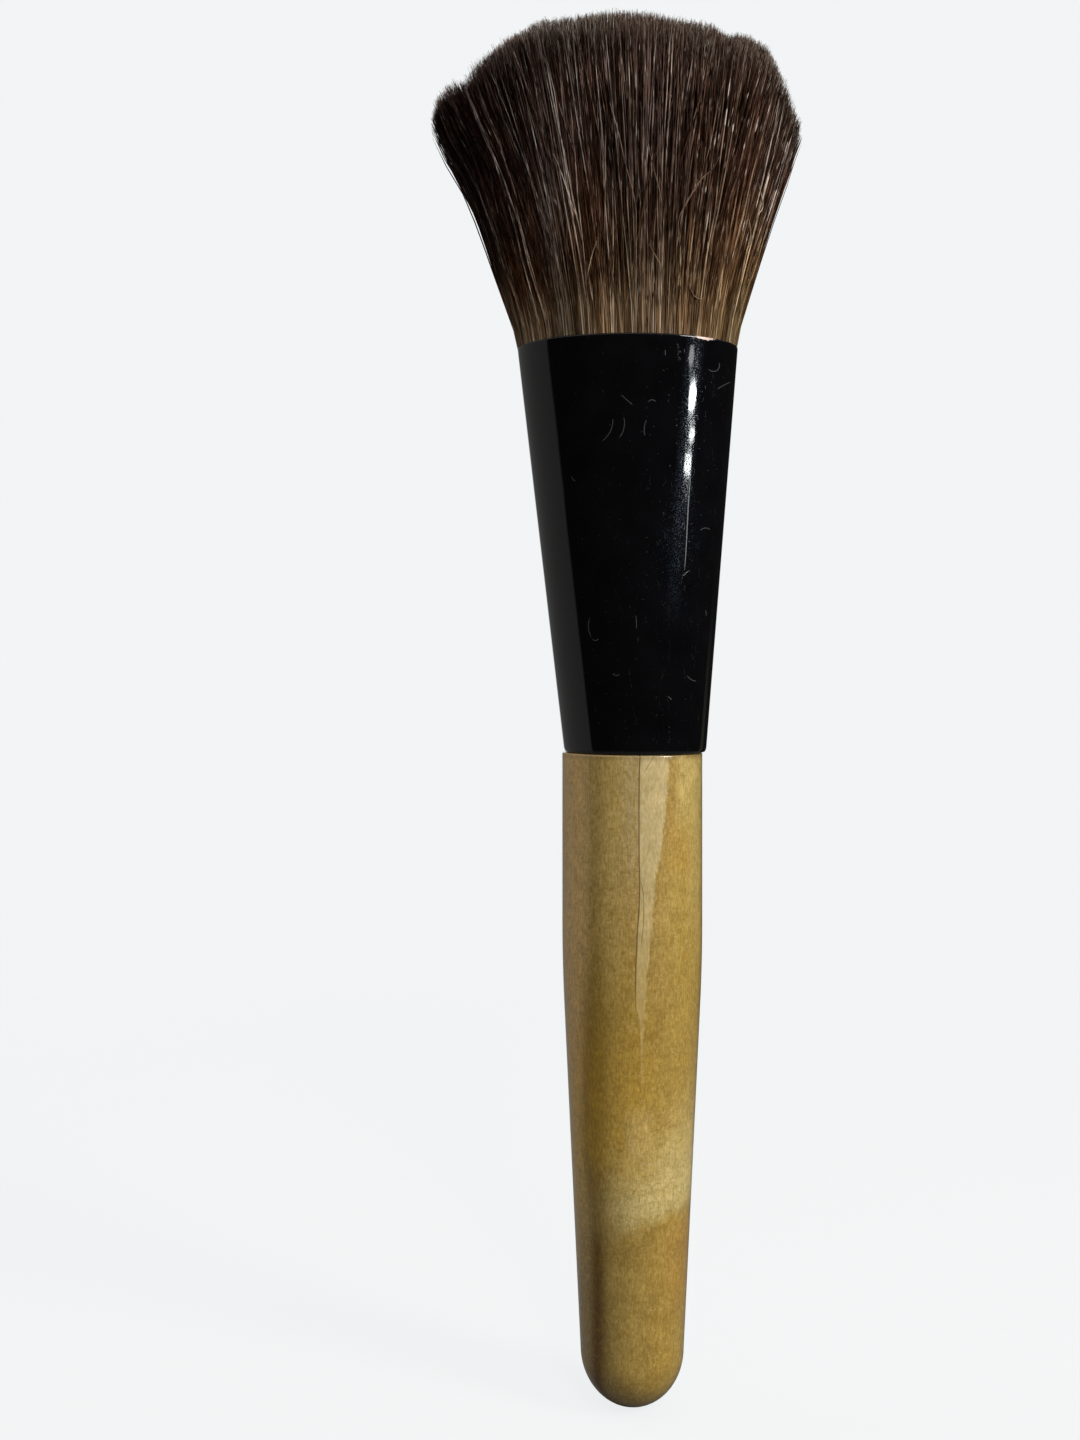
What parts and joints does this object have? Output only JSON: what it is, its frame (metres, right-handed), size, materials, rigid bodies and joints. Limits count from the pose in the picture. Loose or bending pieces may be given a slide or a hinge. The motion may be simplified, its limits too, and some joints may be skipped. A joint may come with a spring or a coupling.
{
  "type": "make-up brush",
  "caption": "Short make-up brush: turned wooden handle with a rounded butt, glossy black ferrule pressed from round to oval, and a wide flared tuft of brown natural hair.",
  "frame": {"origin": "on the handle's axis, in the middle of the parallel grip under the ferrule", "axes": "+Z along the handle towards the hair, +X along the ferrule's wide side, +Y along its narrow side"},
  "size_m": [0.0438, 0.0347, 0.1649],
  "materials": {
    "lacquered_wood": "clear gloss lacquer over pale honey-coloured wood",
    "black_gloss_metal": "high-gloss black enamel, finely scratched",
    "brown_hair": "soft natural hair, taupe at the roots and dark brown at the tips",
    "binding_thread": "plain thread",
    "amber_resin": "hard clear resin",
    "cream_glue": "set glue"
  },
  "bodies": {
    "root": {"handle": "lacquered_wood", "ferrule": "black_gloss_metal", "hair_tuft": "brown_hair", "root_binding": "binding_thread", "resin_plug": "amber_resin", "handle_glue": "cream_glue"}
  },
  "joints": []
}
